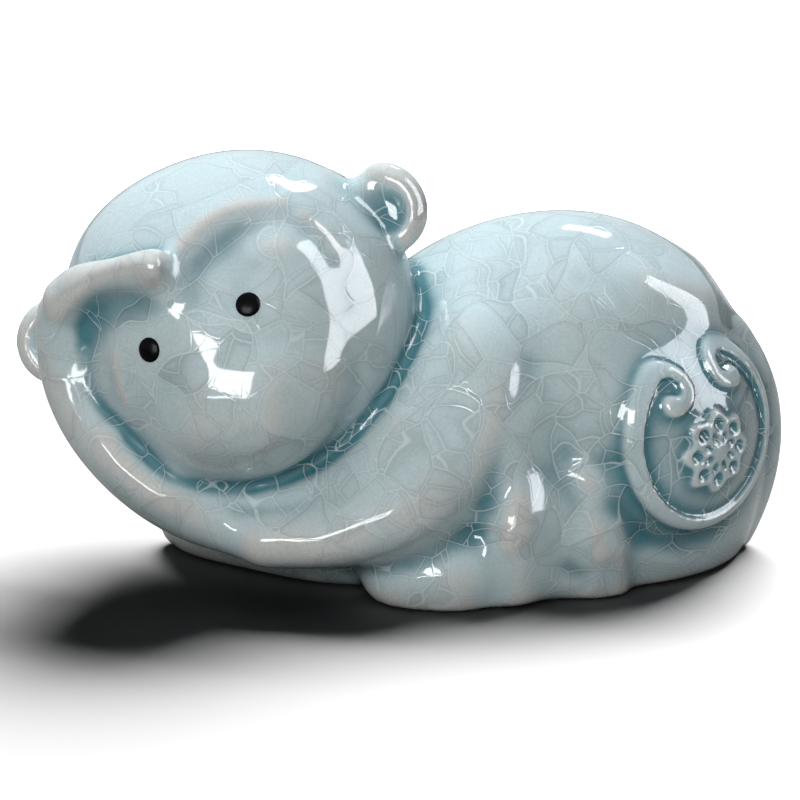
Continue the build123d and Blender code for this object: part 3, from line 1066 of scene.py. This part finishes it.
@dataclass(frozen=True)
class BlackEnamel:
    """A drop of black overglaze enamel, satin beside the glaze round it."""

    name: str = "black_enamel"
    colour: str = "050506"
    gloss: float = 0.06
    # The roughness grows from its least by patches of a size in millimetres
    roughness: float = 0.2
    more_roughness: float = 0.1
    patch: float = 0.5
    patch_detail: float = 2.0

    def build(self) -> Material:
        """The material, a little uneven in its gloss."""
        material, tree, shader = principled(self.name)
        origin = add_node(tree, "TexCoord").outputs["Object"]
        patch = noise(tree, origin, self.patch * MM, self.patch_detail)
        rough = maths(tree, "ADD", self.roughness, maths(tree, "MULTIPLY", patch, self.more_roughness))
        inputs = {"Base Color": linear(self.colour), "Roughness": rough, "Specular IOR Level": self.gloss}
        feed(tree, shader, inputs)
        return material


class Reach(Enum):
    """What a lamp does: it lights the figurine, lights the paper, or only shows in the gloss."""

    FIGURINE = "figurine"
    PAPER = "paper"
    GLOSS = "gloss"


@dataclass(frozen=True)
class Lamp:
    """One soft box: the direction it stands in from the figurine, how far off, and its size."""

    name: str
    towards: Place
    distance: float
    size: Pair
    power: float
    reach: Reach
    colour: str = "FFFFFF"


@dataclass(frozen=True)
class Card:
    """A level card in front of the figurine: the place of its middle, and its size."""

    name: str
    place: Place
    size: Pair


@dataclass
class Studio:
    """Camera, lights, floor and white surroundings. Lengths are millimetres."""

    target: Place = (0.0, 0.0, 18.2)
    distance: float = 450.0
    elevation: float = 18.0
    lens: float = 176.2
    nearest: float = 10.0
    farthest: float = 10000.0
    lamps: tuple[Lamp, ...] = (
        Lamp("sky_panel", (-0.15, 0.42, 0.88), 420.0, (340, 260), 2.9, Reach.FIGURINE, "F0F9FF"),
        Lamp("front_panel", (-0.2, -0.85, 0.5), 450.0, (300, 240), 1.3, Reach.FIGURINE),
        Lamp("paper_panel", (0.24, 0.45, 0.85), 420.0, (380, 250), 19.5, Reach.PAPER),
        Lamp("right_window", (0.9, -0.12, 0.42), 500.0, (230, 700), 4.6, Reach.GLOSS, "F4F8FF"),
        Lamp("left_window", (-0.36, -0.88, 0.29), 500.0, (310, 270), 3.8, Reach.GLOSS),
        Lamp("top_window", (0.2, 0.57, 0.8), 500.0, (120, 50), 0.5, Reach.GLOSS),
    )
    # How bright the surroundings are as light on things, in the gloss, and to the camera
    dim: float = 0.02
    sheen: float = 0.7
    plain: float = 1.0
    floor_size: float = 4000.0
    # From this far out, and to the camera only, the paper glows; from twice as far it glows fully
    pool_of_light: float = 75.0
    # The paper takes little light but has a strong lamp, so that its shadow is deep
    paper: str = "767676"
    paper_bounce: str = "4A4A4A"
    paper_roughness: float = 0.9
    # Cards that only the gloss sees keep the left window off the chest, the legs and the raised arm
    flags: tuple[Card, ...] = (
        Card("low_flag", (-5.0, -60.0, 24.0), (100.0, 70.0)),
        Card("high_flag", (-50.0, -52.0, 30.5), (45.0, 60.0)),
    )

    def camera(self) -> None:
        """The camera, at the photograph's angle."""
        data = bpy.data.cameras.new("camera")
        data.lens = self.lens
        data.clip_start = self.nearest * MM
        data.clip_end = self.farthest * MM
        camera = bpy.data.objects.new("camera", data)
        bpy.context.scene.collection.objects.link(camera)
        rise = math.radians(self.elevation)
        back = Vector((0, -math.cos(rise), math.sin(rise)))
        camera.location = (Vector(self.target) + back * self.distance) * MM
        camera.rotation_euler = (math.pi / 2 - rise, 0, 0)
        bpy.context.scene.camera = camera

    def light(self, figurine: list[Object], paper: list[Object]) -> None:
        """The soft boxes.

        Args:
            figurine: what the figurine's lamps light.
            paper: what the paper's lamps light.
        """
        receivers = {}
        for reach, objects in ((Reach.FIGURINE, figurine), (Reach.PAPER, paper)):
            receivers[reach] = bpy.data.collections.new(f"lit_{reach.value}")
            for lit in objects:
                receivers[reach].objects.link(lit)
        for lamp in self.lamps:
            data = bpy.data.lights.new(lamp.name, "AREA")
            data.shape = "RECTANGLE"
            data.size, data.size_y = (side * MM for side in lamp.size)
            data.energy = lamp.power
            data.color = linear(lamp.colour)[:3]
            box = bpy.data.objects.new(lamp.name, data)
            away = Vector(lamp.towards).normalized()
            box.location = (Vector(self.target) + away * lamp.distance) * MM
            box.rotation_euler = away.to_track_quat("Z", "Y").to_euler()
            if lamp.reach is Reach.GLOSS:
                box.visible_diffuse = False
            else:
                box.visible_glossy = False
                box.light_linking.receiver_collection = receivers[lamp.reach]
            bpy.context.scene.collection.objects.link(box)

    def surroundings(self) -> None:
        """White to the camera, bright in the gloss, and a dim even light on everything."""
        world = bpy.data.worlds.new("white_studio")
        bpy.context.scene.world = world
        world.use_nodes = True
        tree = world.node_tree
        tree.nodes.clear()
        path = add_node(tree, "LightPath").outputs
        dim, sheen, plain = (
            add_node(tree, "Background", {"Color": WHITE, "Strength": strength}).outputs[0]
            for strength in (self.dim, self.sheen, self.plain)
        )
        mixed = add_node(tree, "MixShader", {0: path["Is Glossy Ray"], 1: dim, 2: sheen})
        inputs = {0: path["Is Camera Ray"], 1: mixed.outputs[0], 2: plain}
        mixed = add_node(tree, "MixShader", inputs)
        add_node(tree, "OutputWorld", {"Surface": mixed.outputs[0]})

    def floor(self) -> Object:
        """White paper that keeps the figurine's shadow and glows evenly where the shadow ends."""
        material, tree, shader = principled("white_paper")
        origin = add_node(tree, "TexCoord").outputs["Object"]
        away = add_node(tree, "VectorMath", {0: origin}, operation="LENGTH").outputs["Value"]
        start, end = self.pool_of_light * MM, 2 * self.pool_of_light * MM
        glow = add_node(
            tree, "MapRange", {"Value": away, "From Min": start, "From Max": end},
            interpolation_type="SMOOTHSTEP",
        ).outputs["Result"]
        seen = add_node(tree, "LightPath").outputs["Is Camera Ray"]
        feed(tree, shader, {
            "Base Color": mixed_colour(tree, seen, linear(self.paper_bounce), linear(self.paper)),
            "Roughness": self.paper_roughness,
            "Specular IOR Level": 0.0,
            "Emission Color": WHITE,
            "Emission Strength": maths(tree, "MULTIPLY", seen, glow),
        })
        floor = sheet("floor", (0.0, 0.0, 0.0), (self.floor_size, self.floor_size), material)
        return floor

    def hang_flags(self) -> None:
        """The cards, as bright from below as the surroundings and clear from above."""
        material = bpy.data.materials.new("flag_card")
        material.use_nodes = True
        tree = material.node_tree
        tree.nodes.clear()
        below = add_node(tree, "NewGeometry").outputs["Backfacing"]
        clear = add_node(tree, "BsdfTransparent").outputs[0]
        plain = add_node(tree, "Emission", {"Strength": self.sheen}).outputs[0]
        mixed = add_node(tree, "MixShader", {0: below, 1: clear, 2: plain}).outputs[0]
        add_node(tree, "OutputMaterial", {"Surface": mixed})
        for card in self.flags:
            flag = sheet(card.name, card.place, card.size, material)
            flag.visible_camera = flag.visible_diffuse = flag.visible_shadow = False

    def build(self, figurine: list[Object]) -> None:
        """Sets up everything round the figurine."""
        self.camera()
        self.surroundings()
        self.hang_flags()
        self.light(figurine, [self.floor()])
        bpy.context.scene.view_settings.view_transform = "Standard"


def main() -> None:
    """Loads the frame, dresses every piece and sets up the studio."""
    logging.basicConfig(level=logging.INFO, format="%(name)s: %(message)s")
    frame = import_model()
    nodes = frame["nodes"]

    glaze = CrackleGlaze().build()
    clay = BareClay().build()
    coat, glazed = GlazeCoat(nodes).build([glaze, clay])
    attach(coat, "root")
    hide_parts(*[name for name in nodes if name not in EYE_NODES])
    log.info("glaze coat: %d faces", len(coat.data.polygons))

    enamel = BlackEnamel().build()
    drops = []
    for name in EYE_NODES:
        drop = EnamelDrops().drop(name, glazed)
        drop.data.materials.append(enamel)
        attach(drop, "root")
        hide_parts(name)
        log.info("%s: black enamel", name)
        drops.append(drop)

    Studio().build([coat, *drops])


if __name__ == "__main__":
    main()
